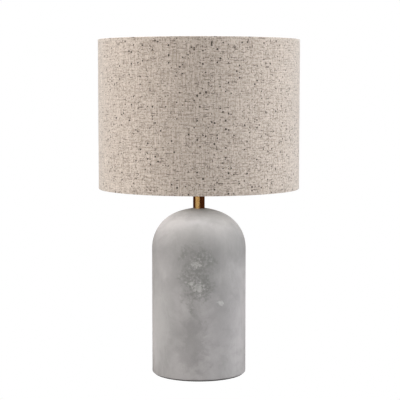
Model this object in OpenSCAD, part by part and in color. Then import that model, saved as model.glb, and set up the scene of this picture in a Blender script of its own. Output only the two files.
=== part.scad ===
// Table lamp: a hollow cast-stone base, a brass neck tube clamped by a threaded pipe, a turn-knob
// lampholder with two shade rings, a screw-in bulb and a linen drum shade on a three-armed frame.
// Millimetres, +Z up, origin on the table under the middle of the base. The front faces -Y.

/* [Base] */
// Diameter of the stone base
base_d = 141; // [116:1:170]
// Height of the base, from the table to the top of its dome
base_h = 250; // [205:1:300]
// Height of the dome above the straight side
dome_h = 60; // [48:1:74]
// Largest radius of the dome's shoulder
shoulder_r = 57; // [40:1:70]
// Rounding of the base's bottom edge
base_edge_r = 2; // [0.5:0.5:4]
// Stone left around the recess under the base
recess_wall = 10; // [7:0.5:14]
// Width of the ledge that the bottom plate bears on
ledge_w = 5; // [3:0.5:8]
// Height of the recess's ceiling above the table
recess_h = 24; // [22:0.5:32]
// Thickness of the felt foot
felt_t = 1.5; // [1:0.5:3]
// Distance from the base's edge in to the felt's edge
felt_inset = 3; // [2:0.5:8]
// Thickness of the steel bottom plate
plate_t = 2; // [1.5:0.5:4]

/* [Neck] */
// Outside diameter of the neck tube
neck_d = 17.5; // [15:0.5:24]
// Wall of the neck tube
neck_wall = 1.2; // [0.8:0.1:2]
// Depth that the neck tube is let into the dome
seat_depth = 4; // [2:0.5:8]
// Gap from the top of the dome to the bottom of the shade
neck_gap = 30; // [15:1:60]

/* [Pipe and nut] */
// Outside diameter of the threaded pipe
pipe_d = 10; // [9:0.5:12]
// Bore of the threaded pipe, which the cord runs through
pipe_bore = 7.2; // [6:0.1:7.5]
// Width of the pipe nut across its flats
nut_af = 17; // [15:0.5:22]
// Thickness of the pipe nut
nut_t = 5; // [3:0.5:7]
// Diameter of the flat washer
washer_d = 30; // [22:1:40]
// Thickness of the flat washer
washer_t = 1.5; // [1:0.5:3]
// Thickness of the split lock washer
lock_t = 1.8; // [1.2:0.2:2.4]
// Pipe left proud of the nut
pipe_tail = 2; // [0.5:0.5:3]

/* [Cord outlet] */
// Bore of the cord bush
cord_bore = 6.6; // [5:0.2:8]
// Wall of the cord bush
bush_wall = 1.6; // [1.2:0.2:2.4]
// Width of the bush's flange beyond its sleeve
bush_flange = 2.2; // [1.5:0.1:4]
// Thickness of the bush's flange
bush_flange_t = 2; // [1:0.5:3]

/* [Lampholder] */
// Height of the shade ring's seat above the bottom of the shade
fitter_rise = 57; // [48:1:90]
// Height of the lampholder's cap
cap_h = 28; // [26:0.5:34]
// Outside diameter of the threaded skirt, over its crests
skirt_d = 39.5; // [39:0.5:44]
// Height of the threaded skirt
skirt_h = 30; // [28:0.5:36]
// Pitch of the skirt's thread
skirt_pitch = 2.5; // [2:0.1:3]
// Depth of the skirt's thread
skirt_depth = 0.6; // [0.4:0.1:0.8]
// Height of the shade ring's seat above the bottom of the skirt
seat_height = 9; // [7:0.5:12]
// Width of the shade rings' rims beyond the skirt's thread
ring_rim = 4.25; // [3.5:0.25:7]
// Thickness of the two shade rings
ring_t = 3.2; // [2.4:0.2:4.2]
// Diameter of the switch knob
knob_d = 10; // [8:0.5:12]
// Length of the switch knob
knob_l = 14; // [10:1:20]
// Diameter of the switch shaft
shaft_d = 4; // [3:0.2:4.6]

/* [Shade] */
// Outside diameter of the shade
shade_d = 300; // [240:1:360]
// Height of the shade
shade_h = 221; // [180:1:270]
// Thickness of the linen
fabric_t = 0.8; // [0.5:0.1:1.2]
// Thickness of the stiff liner
liner_t = 1; // [0.6:0.1:1.6]
// Diameter of the two wire hoops and of the frame's arms
wire_d = 3.2; // [2.4:0.2:4.4]
// Number of arms on the shade's frame
arm_count = 3; // [3:1:4]
// Width of the fitter ring around the skirt's thread
fitter_rim = 11.25; // [10:0.25:16]
// Thickness of the fitter ring
fitter_t = 1.2; // [1:0.1:2]

/* [Bulb] */
// Largest diameter of the bulb's glass
bulb_d = 37; // [32:0.5:38]
// Height of the bulb's glass
glass_h = 75; // [64:1:90]
// Radius of the curve down the side of the glass
glass_curve_r = 60; // [50:1:80]
// Thickness of the glass
glass_t = 0.8; // [0.6:0.1:1.2]
// Diameter of the neck of the glass
glass_neck_d = 24.6; // [22:0.2:25]
// Number of filaments
filament_count = 4; // [2:1:6]

/* [Hidden] */
$fn = 96;
eps = 0.01;

// Fits and clearances
slip = 0.05;          // pieces of one assembly that slide together
run = 0.08;           // the turning switch shaft in its bush
ring_clear = 0.3;     // rings over the crests of the skirt's thread
face_gap = 0.1;       // between faces of the rings and the fitter ring
screw_clear = 0.35;   // bulb cap in the screw shell
contact_gap = 0.3;    // bulb tip above its contact
plate_clear = 0.5;    // bottom plate in its recess
pipe_hole_clear = 0.4;

// Screw of the bulb, drawn as rounded rings at its pitch
e27_pitch = 3.629;
e27_mid_r = 12.675;
e27_wave = 0.525;
e27_steps = 8;        // per turn
screw_shell_t = 0.5;

// Base
base_r = base_d / 2;
recess_r = base_r - recess_wall;
stone_wall = recess_wall + ledge_w;
cavity_r = base_r - stone_wall;
dome_z = base_h - dome_h;
shoulder = min(shoulder_r, 0.95 * dome_h, 0.95 * base_r);
shoulder_x = base_r - shoulder;
crown_r = (dome_h * dome_h + shoulder_x * shoulder_x - shoulder * shoulder) / (2 * (dome_h - shoulder));
crown_z = base_h - crown_r;
plate_z = recess_h - plate_t;
pipe_z = plate_z - washer_t - lock_t - nut_t - pipe_tail;

// Cord outlet, half-way up the recess at the back
bush_z = (felt_t + plate_z) / 2;
bush_r = cord_bore / 2 + bush_wall;
bush_flange_r = bush_r + bush_flange;
bush_seat_y = base_r - 0.8;
bush_inside = 1.5;

// Shade and lampholder heights
shade_z = base_h + neck_gap;
shade_top = shade_z + shade_h;
fitter_z = shade_z + fitter_rise;
skirt_z = fitter_z - seat_height;
cap_z = skirt_z - cap_h;

// Lampholder
skirt_r = skirt_d / 2;
cap_r = skirt_r + 0.25;
cap_wall = 1.3;
hub_h = 4;
hub_r = neck_d / 2;
boss_h = 8;
skirt_bore_r = skirt_r - skirt_depth - 0.65;
skirt_lip = 1.2;
skirt_plain = 3;
spigot_h = 2;
spigot_r = cap_r - cap_wall - slip;
core_r = cap_r - cap_wall - 1.1;
core_z = cap_z + 12;
core_top = skirt_z + 1;
liner_r = skirt_bore_r - 2 * slip;
liner_wall = 2.4;
liner_top = skirt_z + skirt_h - skirt_lip;
screw_shell_top = liner_top - 3;
contact_top = core_top + 3;
terminal_r = 1.7;
terminal_head_r = 3;
terminal_spread = 10;

// Switch, on an axis along +X
switch_z = core_z + 7;
shaft_r = shaft_d / 2;
switch_bush_r = shaft_r + 1.5;
switch_bush_out = 3;
knob_gap = 0.4;
knob_x = cap_r + switch_bush_out + knob_gap;
rotor_r = 4.6;
rotor_l = 6;
rotor_x = 5;
rotor_clear = 0.4;

// Rings
ring_r = skirt_r + ring_rim;
ring_bore_r = skirt_r + ring_clear;
fitter_r = skirt_r + fitter_rim;
fitter_bore_r = ring_bore_r + 0.4;
scallops = 20;
scallop_r = 1.4;

// Shade
shade_r = shade_d / 2;
liner_out_r = shade_r - fabric_t;
liner_in_r = liner_out_r - liner_t;
wire_r = wire_d / 2;
arm_r = wire_r - 0.2;  // each arm ends inside the hoop that it is welded to
roll_r = wire_r + fabric_t;
hoop_r = liner_in_r - roll_r;
hoop_low_z = shade_z + roll_r;
hoop_high_z = shade_top - roll_r;
arm_tab_l = 4;
arm_start_angle = 90;

// Bulb
bulb_z = contact_top + contact_gap;
bulb_r = bulb_d / 2;
tip_h = 1.8;
insulator_h = 5.5;
cap_len = 21;
glass_z = bulb_z + insulator_h + cap_len;
bulb_top = glass_z + glass_h;
glass_neck_r = glass_neck_d / 2;
glass_tip_r = 5;
curve_x = bulb_r - glass_curve_r;
tip_x_gap = glass_curve_r - glass_tip_r;
tip_rise = sqrt(tip_x_gap * tip_x_gap - curve_x * curve_x);
tip_z = bulb_top - glass_tip_r;
curve_z = tip_z - tip_rise;
stem_h = 22;
filament_r = 0.9;
filament_l = 32;
filament_z = glass_z + stem_h - 4;
filament_ring_r = 7;
lead_r = 0.35;

// ---- shared shapes ----

// A round piece along +Z from height z
module rod(r, h, z = 0) {
    translate([0, 0, z]) cylinder(r = r, h = h);
}

// A round piece along +X from x, at height z
module rod_x(r, l, x, z) {
    translate([x, 0, z]) rotate([0, 90, 0]) cylinder(r = r, h = l);
}

// A round piece along +Y from y, at height z
module rod_y(r, l, y, z) {
    translate([0, y, z]) rotate([-90, 0, 0]) cylinder(r = r, h = l);
}

// A tube along +Z from height z
module tube(r, bore, h, z) {
    difference() {
        rod(r, h, z);
        rod(bore, h + 2 * eps, z - eps);
    }
}

// A round bar between two points
module bar(a, b, r) {
    v = b - a;
    l = norm(v);
    translate(a) rotate([0, acos(v[2] / l), atan2(v[1], v[0])]) cylinder(r = r, h = l, $fn = 32);
}

// A hoop of round wire
module hoop(ring_r, r, z) {
    translate([0, 0, z]) rotate_extrude($fn = 192) translate([ring_r, 0]) circle(r = r, $fn = 32);
}

// Half section of the base's outside, moved in by inset: two arcs that meet tangentially, over a
// straight side from height low up
module base_section(inset, low) {
    arc_r = crown_r - inset;
    bend_r = shoulder - inset;
    join_x = shoulder_x * arc_r / (crown_r - shoulder);
    translate([0, low]) square([base_r - inset, dome_z - low]);
    intersection() {
        translate([0, crown_z]) circle(r = arc_r, $fn = 256);
        translate([0, dome_z]) square([join_x, dome_h]);
    }
    intersection() {
        translate([shoulder_x, dome_z]) circle(r = bend_r, $fn = 256);
        translate([join_x, dome_z]) square([base_r, dome_h]);
    }
}

// ---- base ----

module base_body() color("#a8a5a0") difference() {
    rotate_extrude($fn = 160) difference() {
        base_section(0, felt_t);
        base_section(stone_wall, recess_h - eps);
        square([recess_r, recess_h]);
        square([pipe_d / 2 + pipe_hole_clear, base_h + eps]);
        translate([0, base_h - seat_depth]) square([neck_d / 2 + slip, seat_depth + eps]);
        translate([base_r, felt_t]) difference() {
            translate([-base_edge_r, -eps]) square([base_edge_r + eps, base_edge_r + eps]);
            translate([-base_edge_r, base_edge_r]) circle(r = base_edge_r);
        }
    }
    rod_y(bush_r + slip, recess_wall + 2, recess_r - 1, bush_z);
    rod_y(bush_flange_r + slip, 2, bush_seat_y, bush_z);
}

module base_felt() color("#3b3a38") rod(base_r - felt_inset, felt_t);

module bottom_plate() color("#8d9094") tube(recess_r - plate_clear, pipe_d / 2 + slip, plate_t, plate_z);

module pipe_washer() color("#b9bcc0")
    tube(washer_d / 2, pipe_d / 2 + slip, washer_t, plate_z - washer_t);

// A ring with one slanted split
module pipe_lock_washer() color("#9fa3a8") difference() {
    tube(nut_af / 2 - 0.6, pipe_d / 2 + slip, lock_t, plate_z - washer_t - lock_t);
    translate([nut_af / 2 - 2, 0, plate_z - washer_t - lock_t / 2]) rotate([25, 0, 0])
        cube([nut_af / 2, 0.8, 3 * lock_t], center = true);
}

module pipe_nut() color("#c8a75c") difference() {
    z = plate_z - washer_t - lock_t - nut_t;
    translate([0, 0, z]) cylinder(d = nut_af / cos(30), h = nut_t, $fn = 6);
    rod(pipe_d / 2 + slip, nut_t + 2, z - 1);
}

module threaded_pipe() color("#c2a057") tube(pipe_d / 2, pipe_bore / 2, cap_z + boss_h - pipe_z, pipe_z);

module neck_tube() color("#9c7740")
    tube(neck_d / 2, neck_d / 2 - neck_wall, cap_z - base_h + seat_depth, base_h - seat_depth);

// Sleeve with a bevelled flange outside, through the back wall
module cord_bush() color("#262523") difference() {
    union() {
        rod_y(bush_r, bush_seat_y - recess_r + bush_inside + eps, recess_r - bush_inside, bush_z);
        rod_y(bush_flange_r, bush_flange_t / 2, bush_seat_y, bush_z);
        translate([0, bush_seat_y + bush_flange_t / 2, bush_z]) rotate([-90, 0, 0])
            cylinder(r1 = bush_flange_r, r2 = bush_flange_r - bush_flange_t / 2, h = bush_flange_t / 2);
    }
    rod_y(cord_bore / 2, base_r, recess_r - 2 * bush_inside, bush_z);
}

// ---- lampholder ----

// Half section of the cap's outside: hub, rounded shoulder, straight side
module cap_section(inset) {
    bend_r = cap_r - hub_r;
    bend_z = cap_z + hub_h + bend_r;
    intersection() {
        translate([hub_r, bend_z]) circle(r = bend_r - inset);
        translate([hub_r - eps, cap_z]) square([cap_r, bend_z - cap_z + eps]);
    }
    translate([0, cap_z + hub_h + inset]) square([hub_r, bend_r]);
    translate([0, bend_z]) square([cap_r - inset, skirt_z - bend_z]);
}

module lampholder_cap() color("#b58a45") difference() {
    rotate_extrude() {
        difference() {
            cap_section(0);
            cap_section(cap_wall);
            translate([0, skirt_z - eps]) square([cap_r - cap_wall, 1]);
        }
        translate([0, cap_z]) square([hub_r, boss_h]);
    }
    rod(pipe_d / 2 + slip, boss_h + 2, cap_z - 1);
    rod_x(1.5, hub_r, 0, cap_z + hub_h / 2);
    rod_x(switch_bush_r + slip, cap_r, 1, switch_z);
    rod(cap_r - cap_wall, skirt_z - core_z + 1, core_z);
}

// Grub screw with a hexagon socket, from the pipe out to the hub's side
module cap_grub_screw() color("#8d9094") difference() {
    x = pipe_d / 2 + slip;
    rod_x(1.45, hub_r - x - 0.3, x, cap_z + hub_h / 2);
    translate([x + 1.2, 0, cap_z + hub_h / 2]) rotate([0, 90, 0]) cylinder(r = 0.85, h = hub_r, $fn = 6);
}

// Skirt whose ring thread is a row of V grooves; a spigot below enters the cap and a lip closes the top
module lampholder_skirt() color("#b58a45") {
    grooves = floor((skirt_h - 2 * skirt_plain) / skirt_pitch);
    outline = concat(
        [[skirt_bore_r, skirt_z - spigot_h], [spigot_r, skirt_z - spigot_h], [spigot_r, skirt_z],
         [skirt_r, skirt_z]],
        [for (i = [0 : grooves - 1]) each let (z = skirt_z + skirt_plain + i * skirt_pitch)
            [[skirt_r, z], [skirt_r - skirt_depth, z + skirt_pitch / 2]]],
        [[skirt_r, skirt_z + skirt_plain + grooves * skirt_pitch], [skirt_r, skirt_z + skirt_h - 0.6],
         [skirt_r - 0.6, skirt_z + skirt_h], [skirt_bore_r - skirt_lip, skirt_z + skirt_h],
         [skirt_bore_r - skirt_lip, liner_top], [skirt_bore_r, liner_top]]);
    rotate_extrude() polygon(outline);
}

module lampholder_liner() color("#eeeae0")
    tube(liner_r, liner_r - liner_wall, liner_top - core_top, core_top);

// Porcelain block with a pocket for the switch and two screw holes
module lampholder_core() color("#eeeae0") difference() {
    union() {
        rod(core_r, skirt_z - spigot_h - slip - core_z, core_z);
        rod(skirt_bore_r - slip, core_top - core_z, core_z);
    }
    rod_x(rotor_r + rotor_clear, rotor_l + 2 * rotor_clear, rotor_x - rotor_clear, switch_z);
    rod_x(shaft_r + rotor_clear, cap_r, rotor_x, switch_z);
    for (side = [-1, 1]) translate([0, side * terminal_spread, 0]) rod(terminal_r + slip, 9, core_z - 1);
}

// Screw shell with a foot flange that is riveted to the core
module screw_shell() color("#c9a45a") {
    bore_r = e27_mid_r + e27_wave + screw_clear;
    tube(bore_r + screw_shell_t, bore_r, screw_shell_top - core_top, core_top);
    tube(liner_r - liner_wall - 0.4, bore_r, screw_shell_t, core_top);
}

// Springy leaf: foot, slope and a raised end under the bulb's tip
module center_contact() color("#d0b070") {
    leaf_w = 6;
    leaf_t = 0.5;
    foot_x = -9;
    bend_x = -5;
    end_x = -2.5;
    translate([0, leaf_w / 2, 0]) rotate([90, 0, 0]) linear_extrude(leaf_w) polygon([
        [foot_x, core_top], [bend_x, core_top], [end_x, contact_top - leaf_t], [3, contact_top - leaf_t],
        [3, contact_top], [end_x - leaf_t, contact_top], [bend_x - leaf_t, core_top + leaf_t],
        [foot_x, core_top + leaf_t]]);
}

module terminal_screws() color("#b9bcc0") for (side = [-1, 1]) translate([0, side * terminal_spread, 0])
    difference() {
        union() {
            rod(terminal_r, 6, core_z);
            rod(terminal_head_r, 1.6, core_z - 1.6);
        }
        translate([0, 0, core_z - 1.6]) cube([8, 0.8, 1.4], center = true);
    }

// ---- switch ----

module switch_bush() color("#b58a45") difference() {
    union() {
        rod_x(switch_bush_r, cap_wall + switch_bush_out, cap_r - cap_wall, switch_z);
        rod_x(switch_bush_r + 1, switch_bush_out - 1, cap_r + 0.5, switch_z);
    }
    rod_x(shaft_r + run, 3 * cap_r, 0, switch_z);
}

module switch_shaft() color("#8d9094")
    rod_x(shaft_r, knob_x + knob_l / 2 - rotor_x - rotor_l, rotor_x + rotor_l, switch_z);

// Four-sided cam with rounded corners
module switch_rotor() color("#3a2a20") translate([rotor_x, 0, switch_z]) rotate([0, 90, 0]) intersection() {
    cylinder(r = rotor_r, h = rotor_l);
    translate([-rotor_r * 0.82, -rotor_r * 0.82, -1]) cube([rotor_r * 1.64, rotor_r * 1.64, rotor_l + 2]);
}

// Ribbed knob with a domed end, bored for the shaft
module switch_knob() color("#2b2320") difference() {
    rib_r = 0.7;
    union() {
        rod_x(knob_d / 2, knob_l - 2, knob_x, switch_z);
        translate([knob_x + knob_l - 2, 0, switch_z]) rotate([0, 90, 0])
            cylinder(r1 = knob_d / 2, r2 = knob_d / 2 - 1.5, h = 2);
    }
    rod_x(shaft_r + slip / 2, knob_l / 2 + 1, knob_x - 1, switch_z);
    for (a = [0 : 30 : 330])
        translate([knob_x + 2, 0, switch_z]) rotate([a, 0, 0]) translate([0, knob_d / 2 + rib_r * 0.4, 0])
            rotate([0, 90, 0]) cylinder(r = rib_r, h = knob_l, $fn = 24);
}

// ---- shade rings ----

// A flanged ring with a scalloped rim and a collar on the side away from the shade's fitter ring
module shade_ring(z, collar_up) {
    collar_r = ring_bore_r + 1.8;
    collar_h = 1.6;
    difference() {
        union() {
            rod(ring_r, ring_t, z);
            rod(collar_r, ring_t + collar_h, collar_up ? z : z - collar_h);
        }
        rod(ring_bore_r, ring_t + 2 * collar_h + 2, z - collar_h - 1);
        for (i = [0 : scallops - 1])
            rotate([0, 0, 360 * i / scallops]) translate([ring_r + scallop_r * 0.55, 0, z - 1])
                cylinder(r = scallop_r, h = ring_t + 2, $fn = 24);
    }
}

module seat_ring() color("#2b2320") shade_ring(fitter_z - ring_t, false);

module clamp_ring() color("#2b2320") shade_ring(fitter_z + fitter_t + 2 * face_gap, true);

// ---- shade ----

// Stamped ring with a turned-up outer edge
module fitter_ring() color("#f2f1ee") translate([0, 0, fitter_z + face_gap]) rotate_extrude() {
    translate([fitter_bore_r, 0]) square([fitter_r - fitter_bore_r, fitter_t]);
    translate([fitter_r - fitter_t, 0]) square([fitter_t, 3]);
}

// Straight arms, welded to the bottom hoop, that rise to short tabs under the fitter ring
module arm_bars(r) {
    tab_z = fitter_z + face_gap - arm_r - slip;
    tab_x = fitter_r - arm_tab_l;
    bend_x = fitter_r + 1;
    for (i = [0 : arm_count - 1]) rotate([0, 0, arm_start_angle + 360 * i / arm_count]) {
        bar([tab_x, 0, tab_z], [bend_x, 0, tab_z], r);
        translate([bend_x, 0, tab_z]) sphere(r = r + slip, $fn = 32);
        bar([bend_x, 0, tab_z], [hoop_r, 0, hoop_low_z], r);
    }
}

module shade_arms() color("#f2f1ee") arm_bars(arm_r);

module shade_bottom_wire() color("#f2f1ee") hoop(hoop_r, wire_r, hoop_low_z);

module shade_top_wire() color("#f2f1ee") hoop(hoop_r, wire_r, hoop_high_z);

module shade_liner() color("#f4efe6")
    translate([0, 0, shade_z + fabric_t]) rotate_extrude($fn = 192)
        translate([liner_in_r, 0]) square([liner_t, shade_h - 2 * fabric_t]);

module shade_fabric() color("#c9beb1")
    translate([0, 0, shade_z]) rotate_extrude($fn = 192)
        translate([liner_out_r, 0]) square([fabric_t, shade_h]);

// Linen turned over the edge of the liner and rolled round a hoop; the flap lies on the liner's edge
module hem(wire_z, edge_z) color("#c9beb1") rotate_extrude($fn = 192) difference() {
    union() {
        translate([hoop_r, wire_z]) circle(r = roll_r - slip, $fn = 48);
        translate([hoop_r, edge_z]) square([liner_out_r - hoop_r, fabric_t]);
    }
    translate([hoop_r, wire_z]) circle(r = wire_r + slip, $fn = 48);
}

module shade_hem_top() hem(hoop_high_z, shade_top - fabric_t);

// The lower roll is notched round each arm
module shade_hem_bottom() color("#c9beb1") difference() {
    hem(hoop_low_z, shade_z);
    arm_bars(arm_r + 2 * slip);
}

// ---- bulb ----

module bulb_tip() color("#b9bcc0") translate([0, 0, bulb_z]) cylinder(r1 = 3.2, r2 = 4.6, h = tip_h);

module bulb_insulator() color("#1d1c1b") translate([0, 0, bulb_z + tip_h])
    cylinder(r1 = 6, r2 = 11.4, h = insulator_h - tip_h);

// Rolled screw cap with a closed foot, and a plain collar that holds the glass
module bulb_cap() color("#c3c6c9") rotate_extrude() {
    z = bulb_z + insulator_h;
    rolled_h = cap_len - 4;
    steps = round(rolled_h / e27_pitch * e27_steps);
    bore_r = glass_neck_r - 1;
    polygon(concat(
        [[0, z + 0.6], [0, z]],
        [for (i = [0 : steps]) [e27_mid_r - e27_wave * cos(360 * i / e27_steps), z + rolled_h * i / steps]],
        [[e27_mid_r + e27_wave, z + rolled_h], [e27_mid_r + e27_wave, glass_z], [bore_r, glass_z],
         [bore_r, z + 0.6]]));
}

// Half section of the glass moved in by inset: neck, long side curve and the tip that it runs into
module glass_section(inset) {
    join_z = tip_z + (glass_tip_r - inset) * tip_rise / tip_x_gap;
    translate([0, glass_z]) square([glass_neck_r - inset, curve_z - glass_z]);
    intersection() {
        translate([curve_x, curve_z]) circle(r = glass_curve_r - inset, $fn = 256);
        translate([0, glass_z]) square([bulb_r, join_z - glass_z]);
    }
    intersection() {
        translate([0, tip_z]) circle(r = glass_tip_r - inset);
        translate([0, join_z - eps]) square([glass_tip_r, glass_tip_r]);
    }
}

module bulb_glass() color([0.95, 0.93, 0.88, 0.5]) rotate_extrude() difference() {
    glass_section(0);
    glass_section(glass_t);
    translate([0, glass_z - eps]) square([glass_neck_r - glass_t, 1]);
}

// Flared foot, tapered stem, and a lead from its top out to each filament
module bulb_stem() color([0.9, 0.93, 0.93, 0.6]) {
    lead_z = filament_z + 0.8;
    rod(glass_neck_r - glass_t - slip, 1, glass_z);
    translate([0, 0, glass_z + 1 - eps]) cylinder(r1 = 6, r2 = 2.2, h = stem_h - 1);
    rod(1, filament_l, glass_z + stem_h - 1);
    lead_x = filament_ring_r - filament_r - 2 * slip;
    for (i = [0 : filament_count - 1]) rotate([0, 0, 360 * (i + 0.5) / filament_count]) {
        bar([0, 0, lead_z - 3], [lead_x, 0, lead_z], lead_r);
        bar([0, 0, lead_z + filament_l - 6], [lead_x, 0, lead_z + filament_l - 1.6], lead_r);
    }
}

module bulb_filaments() color("#d9a441") for (i = [0 : filament_count - 1])
    rotate([0, 0, 360 * (i + 0.5) / filament_count]) translate([filament_ring_r, 0, 0])
        rod(filament_r, filament_l, filament_z);

base_body();
base_felt();
bottom_plate();
pipe_washer();
pipe_lock_washer();
pipe_nut();
threaded_pipe();
neck_tube();
cord_bush();
lampholder_cap();
cap_grub_screw();
lampholder_skirt();
lampholder_liner();
lampholder_core();
screw_shell();
center_contact();
terminal_screws();
switch_bush();
switch_shaft();
switch_rotor();
switch_knob();
seat_ring();
clamp_ring();
fitter_ring();
shade_arms();
shade_bottom_wire();
shade_top_wire();
shade_liner();
shade_fabric();
shade_hem_top();
shade_hem_bottom();
bulb_tip();
bulb_insulator();
bulb_cap();
bulb_glass();
bulb_stem();
bulb_filaments();
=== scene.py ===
"""Looks of a table lamp: linen drum shade, cast-stone base, brass neck, lampholder and bulb.

All lengths are metres. The lamp stands on z = 0, its axis is +Z and its front faces -Y.
"""
import math

import bmesh
import bpy
import numpy as np
from mathutils import Matrix, Vector


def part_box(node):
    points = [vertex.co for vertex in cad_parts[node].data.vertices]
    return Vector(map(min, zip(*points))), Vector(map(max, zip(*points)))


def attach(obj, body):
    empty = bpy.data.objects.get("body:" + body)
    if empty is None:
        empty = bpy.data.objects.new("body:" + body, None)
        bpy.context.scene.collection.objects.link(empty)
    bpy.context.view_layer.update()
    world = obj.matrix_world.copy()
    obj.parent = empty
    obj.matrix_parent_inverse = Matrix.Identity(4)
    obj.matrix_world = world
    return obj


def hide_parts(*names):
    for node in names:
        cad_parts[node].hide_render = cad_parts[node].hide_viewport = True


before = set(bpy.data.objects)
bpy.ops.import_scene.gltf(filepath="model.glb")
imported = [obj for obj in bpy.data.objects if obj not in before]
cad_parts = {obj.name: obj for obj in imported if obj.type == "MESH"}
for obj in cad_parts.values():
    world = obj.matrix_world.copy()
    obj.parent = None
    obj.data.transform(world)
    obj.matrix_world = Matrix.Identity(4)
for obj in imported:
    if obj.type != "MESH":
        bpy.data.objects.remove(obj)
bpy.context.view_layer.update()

MM = 0.001
TURN = 2 * math.pi
BACK = TURN / 4  # angle of the lap seam, the frame's first arm and the cord outlet
WELD = 1e-6  # points closer than this become one

# Sizes that a node's box doesn't give
CLOTH = 0.5 * MM
WIRE = 1.6 * MM
FILM_R = 149 * MM
YARN_PITCH = 0.62 * MM
ROUND_THREAD_PITCH = 3.629 * MM
RING_THREAD_PITCH = 2.5 * MM
RING_RIM = 4.25 * MM

# Marks on the stone, each with its middle and its half widths along X, Y and Z: a pocket of coarse
# grains with pale crystals in it, a darker stain below it, and two broad clouds with their strength
# and colour, a dark one that is painted shade on the right side and a pale one that is painted light
# at the left edge
POCKET = ((-0.003, -0.068, 0.156), (0.025, 0.05, 0.050))
STAIN = ((-0.008, -0.070, 0.050), (0.022, 0.05, 0.045))
CRYSTALS = (
    ((-0.004, -0.070, 0.174), (0.007, 0.05, 0.0045)),
    ((-0.001, -0.070, 0.138), (0.008, 0.05, 0.008)),
    ((-0.012, -0.070, 0.146), (0.006, 0.05, 0.003)),
    ((0.032, -0.063, 0.116), (0.005, 0.05, 0.003)),
)
PAINTED_SIDE_SHADE_AND_LIGHT = (
    ((0.036, -0.060, 0.088), (0.026, 0.06, 0.065), 0.32, (0.15, 0.147, 0.145, 1)),
    ((-0.063, -0.030, 0.085), (0.024, 0.06, 0.065), 0.34, (0.51, 0.49, 0.48, 1)),
)

# Camera and floor
CAMERA_AT = (0, -1.961, 0.4352)
CAMERA_DOWN = math.radians(5.0525)
CAMERA_LENS = 117.9
CAMERA_SENSOR = 36.0
CAMERA_SHIFT = 0.00277
FLOOR_HALF = 6.0


# ---------------------------------------------------------------- measures

def low(node):
    """Lowest corner of a node's box."""
    return np.array(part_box(node)[0])


def high(node):
    """Highest corner of a node's box."""
    return np.array(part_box(node)[1])


def radius(node):
    """Half the node's width along X."""
    return (high(node)[0] - low(node)[0]) / 2


def radius_y(node):
    """Half the node's width along Y."""
    return (high(node)[1] - low(node)[1]) / 2


def ease(x):
    """Smooth step that rises from 0 to 1 as x does."""
    x = np.clip(x, 0, 1)
    return x * x * (3 - 2 * x)


def fade(z, start, end, length):
    """1 between two heights, falling smoothly to 0 at them."""
    return ease((z - start) / length) * ease((end - z) / length)


# ---------------------------------------------------------------- surfaces

def arc(centre, r, start, end, count):
    """Points on a circle, r (cos t, sin t) about the centre, as t runs from start to end in degrees."""
    t = np.radians(np.linspace(start, end, count))
    return np.stack([centre[0] + r * np.cos(t), centre[1] + r * np.sin(t)], 1)


def path(*stretches):
    """Joins points and runs of points into one outline."""
    return np.concatenate([np.atleast_2d(s) for s in stretches])


def rounded(corners, r, count=5, closed=True):
    """Polygon whose corners are eased by quadratic curves that start r away from each corner."""
    p = np.atleast_2d(corners).astype(float)
    before = np.roll(p, 1, 0) - p
    after = np.roll(p, -1, 0) - p
    len_a = np.linalg.norm(before, axis=1, keepdims=True)
    len_b = np.linalg.norm(after, axis=1, keepdims=True)
    a = p + before / len_a * np.minimum(r, 0.45 * len_a)
    b = p + after / len_b * np.minimum(r, 0.45 * len_b)
    t = np.linspace(0, 1, count)[None, :, None]
    curve = (1 - t) ** 2 * a[:, None] + 2 * t * (1 - t) * p[:, None] + t ** 2 * b[:, None]
    if not closed:
        curve[0] = p[0]
        curve[-1] = p[-1]
    return curve.reshape(-1, 2)


def revolve(outline, segments=128, wave=None):
    """Grid of an outline (r, z) turned about Z: (r cos t, r sin t, z).

    wave(t, r, z) may return new (r, z) for each angle, which gives threads, ribs and scallops.
    """
    t = np.linspace(0, TURN, segments, endpoint=False)[:, None]
    r, z = outline[None, :, 0], outline[None, :, 1]
    r, z, t = np.broadcast_arrays(r, z, t)
    if wave is not None:
        r, z = wave(t, r, z)
    return np.stack([r * np.cos(t), r * np.sin(t), z], -1)


def along(points, bar_r, segments=16):
    """Round bar along a path of points.

    Each ring is p + r (cos a n + sin a b), with n and b square to the path's direction, and the two
    ends close in on the path.
    """
    p = np.asarray(points, float)
    d = np.gradient(p, axis=0)
    d /= np.linalg.norm(d, axis=1, keepdims=True)
    side = np.array([0.0, 0.0, 1.0]) if abs(d[0, 2]) < 0.9 else np.array([1.0, 0.0, 0.0])
    n = np.cross(d, side)
    n /= np.linalg.norm(n, axis=1, keepdims=True)
    b = np.cross(d, n)
    r = np.broadcast_to(np.asarray(bar_r, float), len(p))
    p, n, b = (np.concatenate([line[:1], line, line[-1:]]) for line in (p, n, b))
    r = np.concatenate([[0], r, [0]])
    a = np.linspace(0, TURN, segments, endpoint=False)[:, None, None]
    return p[None] + r[None, :, None] * (np.cos(a) * n[None] + np.sin(a) * b[None])


def turned(grid, axis, angle):
    """Copy of a grid, turned about the axis of that letter."""
    return grid @ np.array(Matrix.Rotation(angle, 3, axis)).T


def quads(rows, cols, wrap_rows, wrap_cols, first=0):
    """Corner numbers of a grid's faces."""
    i = np.arange(rows if wrap_rows else rows - 1)
    j = np.arange(cols if wrap_cols else cols - 1)
    i, j = np.meshgrid(i, j, indexing="ij")
    i2, j2 = (i + 1) % rows, (j + 1) % cols
    return first + np.stack([i * cols + j, i2 * cols + j, i2 * cols + j2, i * cols + j2], -1).reshape(-1, 4)


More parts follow.
